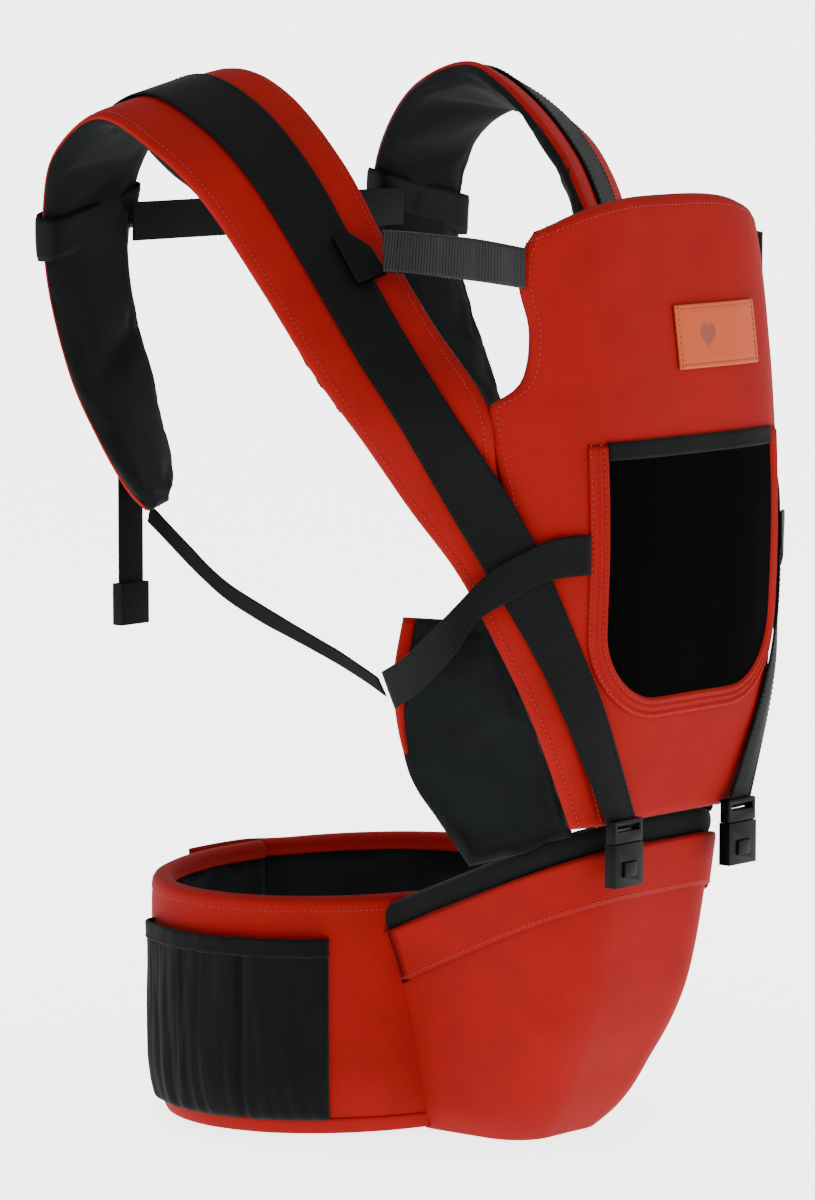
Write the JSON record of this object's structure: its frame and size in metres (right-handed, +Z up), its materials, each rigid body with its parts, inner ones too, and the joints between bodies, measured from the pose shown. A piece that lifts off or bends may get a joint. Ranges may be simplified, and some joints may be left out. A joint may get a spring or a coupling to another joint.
{
  "type": "baby carrier backpack",
  "caption": "Hip-seat baby carrier: padded waist belt with a wedge foam seat, and a detachable back panel with padded shoulder straps.",
  "frame": {"origin": "centre of the seat's flat underside, on the surface that the carrier stands on", "axes": "+Z up, -Y the way the back panel faces (away from the wearer), -X the wearer's right"},
  "size_m": [0.4244, 0.4205, 0.6832],
  "materials": {
    "red_fabric": "plain-weave polyester, matt, with fine stitching",
    "black_lining": "soft black lining fabric, matt",
    "foam": "closed-cell foam",
    "stiffener_board": "polyethylene sheet",
    "pocket_elastic": "black gathered elastic fabric",
    "mesh": "black spacer mesh",
    "hook_and_loop": "black hook and loop tape",
    "black_webbing": "black woven polyester webbing",
    "ribbed_elastic": "black ribbed elastic tape",
    "label_leather": "tan leather-look patch, stitched border",
    "buckle_plastic": "moulded black acetal"
  },
  "bodies": {
    "hip_seat": {"seat_core": "foam", "seat_cover": "red_fabric", "seat_top_pad": "black_lining", "seat_flap": "red_fabric", "belt_cover": "red_fabric", "belt_foam": "foam", "belt_lining": "black_lining", "belt_stiffener": "stiffener_board", "belt_top_binding": "red_fabric", "belt_bottom_binding": "red_fabric", "pocket_panel": "pocket_elastic", "pocket_hem": "pocket_elastic", "hook_patch": "hook_and_loop", "loop_patch": "hook_and_loop", "belt_anchor_webbing": "black_webbing", "belt_buckle_female": "buckle_plastic", "seat_buckle_tabs": "black_webbing", "seat_buckle_female_right": "buckle_plastic", "seat_buckle_female_left": "buckle_plastic"},
    "belt_buckle": {"belt_buckle_male": "buckle_plastic", "belt_adjust_webbing": "black_webbing"},
    "belt_prong_a": {"belt_prong_upper": "buckle_plastic"},
    "belt_prong_b": {"belt_prong_lower": "buckle_plastic"},
    "release_right": {"release_button_right": "buckle_plastic"},
    "release_left": {"release_button_left": "buckle_plastic"},
    "back_buckle": {"back_buckle_male": "buckle_plastic", "back_webbing_left": "black_webbing"},
    "back_prong_a": {"back_prong_upper": "buckle_plastic"},
    "back_prong_b": {"back_prong_lower": "buckle_plastic"},
    "tail_right": {"loose_tail_right": "black_webbing"},
    "tail_left": {"loose_tail_left": "black_webbing"},
    "carrier": {"seat_buckle_male_right": "buckle_plastic", "seat_buckle_male_left": "buckle_plastic", "panel_outer": "red_fabric", "panel_foam": "foam", "panel_lining": "black_lining", "window_mesh": "mesh", "window_frame": "red_fabric", "window_hem": "pocket_elastic", "label_patch": "label_leather", "wing_right": "black_lining", "wing_left": "black_lining", "wing_bindings": "red_fabric", "strap_cover_right": "red_fabric", "strap_cover_left": "red_fabric", "strap_foam_right": "foam", "strap_foam_left": "foam", "strap_lining_right": "black_lining", "strap_lining_left": "black_lining", "strap_webbing_right": "black_webbing", "strap_webbing_left": "black_webbing", "side_elastics": "ribbed_elastic", "ladder_locks": "buckle_plastic", "cross_straps": "black_webbing", "tail_webbings": "black_webbing", "tip_locks": "buckle_plastic", "back_bands": "black_webbing", "back_webbing_right": "black_webbing", "back_buckle_female": "buckle_plastic"}
  },
  "joints": [
    {"name": "carrier_lift", "type": "slide", "parent": "hip_seat", "child": "carrier", "axis": [0, 0, 1], "range_m": [0, 0.08]},
    {"name": "release_right_press", "type": "slide", "parent": "hip_seat", "child": "release_right", "axis": [0, 1, 0], "range_m": [0, 0.002], "stiffness_N_per_m": 400},
    {"name": "release_left_press", "type": "slide", "parent": "hip_seat", "child": "release_left", "axis": [0, 1, 0], "range_m": [0, 0.002], "stiffness_N_per_m": 400},
    {"name": "belt_unclip", "type": "hinge", "parent": "hip_seat", "child": "belt_buckle", "pos_m": [0, 0.086, 0.08], "axis": [0, 0, -1], "range_deg": [0, 9]},
    {"name": "belt_squeeze", "type": "hinge", "parent": "belt_buckle", "child": "belt_prong_a", "pos_m": [0, 0.286, 0.0882], "axis": [0, -1, 0], "range_deg": [0, 8], "stiffness_Nm_per_rad": 0.06},
    {"name": "belt_squeeze_lower", "type": "hinge", "parent": "belt_buckle", "child": "belt_prong_b", "pos_m": [0, 0.286, 0.0718], "axis": [0, 1, 0], "range_deg": [0, 8], "stiffness_Nm_per_rad": 0.06},
    {"name": "back_unclip", "type": "slide", "parent": "carrier", "child": "back_buckle", "axis": [1, 0, 0], "range_m": [0, 0.03]},
    {"name": "back_squeeze", "type": "hinge", "parent": "back_buckle", "child": "back_prong_a", "pos_m": [0, 0.226, 0.5902], "axis": [0, -1, 0], "range_deg": [0, 8], "stiffness_Nm_per_rad": 0.06},
    {"name": "back_squeeze_lower", "type": "hinge", "parent": "back_buckle", "child": "back_prong_b", "pos_m": [0, 0.226, 0.5738], "axis": [0, 1, 0], "range_deg": [0, 8], "stiffness_Nm_per_rad": 0.06},
    {"name": "tail_right_swing", "type": "hinge", "parent": "carrier", "child": "tail_right", "pos_m": [-0.157, 0.208, 0.4245], "axis": [1, 0, 0], "range_deg": [-20, 20]},
    {"name": "tail_left_swing", "type": "hinge", "parent": "carrier", "child": "tail_left", "pos_m": [0.157, 0.208, 0.4245], "axis": [1, 0, 0], "range_deg": [-20, 20]}
  ],
  "couplings": [
    {"joint": "belt_squeeze_lower", "follows": "belt_squeeze", "ratio": 1},
    {"joint": "back_squeeze_lower", "follows": "back_squeeze", "ratio": 1}
  ]
}
